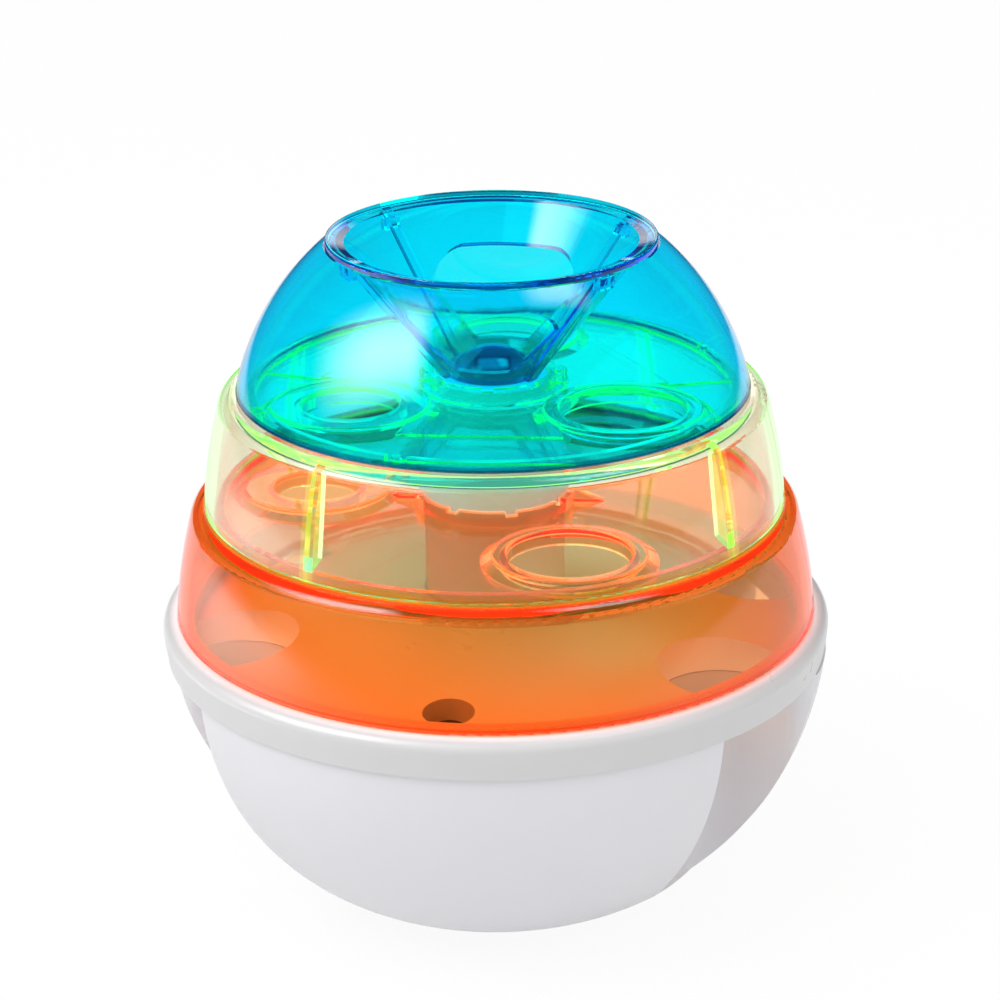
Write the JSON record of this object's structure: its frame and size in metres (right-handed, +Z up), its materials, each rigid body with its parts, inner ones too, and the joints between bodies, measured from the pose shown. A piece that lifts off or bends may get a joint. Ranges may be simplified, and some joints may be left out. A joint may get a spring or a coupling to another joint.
{
  "type": "wobble treat dispenser",
  "caption": "Round-bottomed weighted treat dispenser with a funnel in a dome, two turning clear tiers with sized holes, and chutes that open at the sides of the bowl.",
  "frame": {"origin": "centre of the flat foot under the bowl, on the ground", "axes": "+Z up along the turning axis; the scoops open towards +X and -X; the deck screws and funnel windows lie towards -Y and +Y; in the picture the viewer looks from -Y, turned 10 degrees towards +X"},
  "size_m": [0.1312, 0.1312, 0.135],
  "materials": {
    "white_plastic": "satin",
    "steel": "zinc plated",
    "clear_orange": "clear tinted",
    "clear_yellow": "clear tinted",
    "clear_blue": "clear tinted"
  },
  "bodies": {
    "base": {"bowl": "white_plastic", "base_deck": "white_plastic", "centre_post": "white_plastic", "counterweight": "steel", "weight_clamp": "white_plastic", "deck_screws": "steel", "clamp_screws": "steel", "post_screws": "steel"},
    "lower_tier": {"lower_tier": "clear_orange"},
    "middle_tier": {"middle_tier": "clear_yellow"},
    "dome": {"dome": "clear_blue"},
    "funnel": {"funnel": "clear_blue"}
  },
  "joints": [
    {"name": "lower_tier_turn", "type": "hinge", "parent": "base", "child": "lower_tier", "pos_m": [0, 0, 0.06], "axis": [0, 0, 1], "continuous": true},
    {"name": "middle_tier_turn", "type": "hinge", "parent": "lower_tier", "child": "middle_tier", "pos_m": [0, 0, 0.0826], "axis": [0, 0, 1], "continuous": true},
    {"name": "dome_lift", "type": "slide", "parent": "middle_tier", "child": "dome", "axis": [0, 0, 1], "range_m": [0, 0.06]},
    {"name": "funnel_lift", "type": "slide", "parent": "dome", "child": "funnel", "axis": [0, 0, 1], "range_m": [0, 0.05]}
  ]
}
